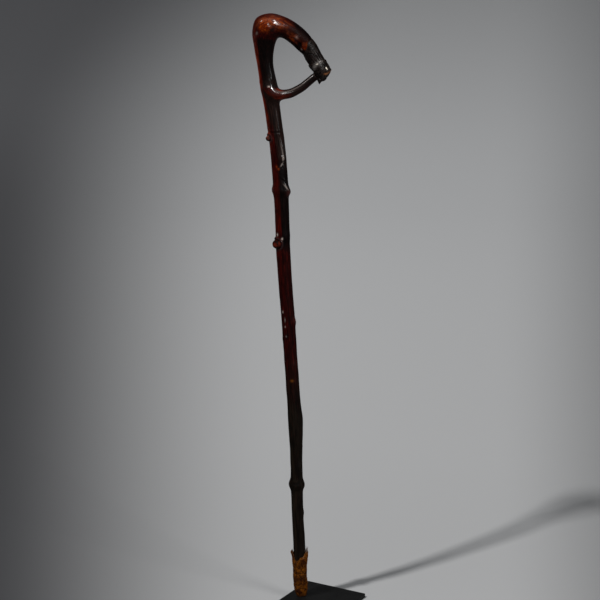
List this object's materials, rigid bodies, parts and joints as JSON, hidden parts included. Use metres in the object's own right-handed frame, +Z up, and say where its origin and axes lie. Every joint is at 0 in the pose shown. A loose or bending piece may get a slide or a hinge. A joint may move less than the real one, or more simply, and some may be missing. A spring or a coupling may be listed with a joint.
{
  "type": "ceremonial staff",
  "caption": "Natural-growth wooden staff with a hooked handle braced by a side branch, hide sleeves on the hook's end and foot, on a square steel display stand.",
  "frame": {"origin": "on the underside of the display stand's plate, right below the support pin", "axes": "+Z up along the pin, +X to the side the hook opens to, +Y to the back of the hook's plane"},
  "size_m": [0.1793, 0.1484, 0.9397],
  "materials": {
    "polished_wood": "waxed and polished by handling, amber at the hook, near black along the shaft",
    "dark_hide": "shrunk-on dark hide, smooth with a satin gloss",
    "ochre_hide": "dry ochre hide with short hair left on it, rough and torn at the edge",
    "black_steel": "satin black paint",
    "bright_steel": "plain turned steel"
  },
  "bodies": {
    "stand": {"base_plate": "black_steel", "support_pin": "bright_steel"},
    "staff": {"staff_wood": "polished_wood", "crook_sleeve": "dark_hide", "joint_wrap": "dark_hide", "tail_wrap": "dark_hide", "foot_sleeve": "ochre_hide"}
  },
  "joints": [
    {"name": "staff_lift", "type": "slide", "parent": "stand", "child": "staff", "axis": [0, 0, 1], "range_m": [0, 0.075]}
  ]
}
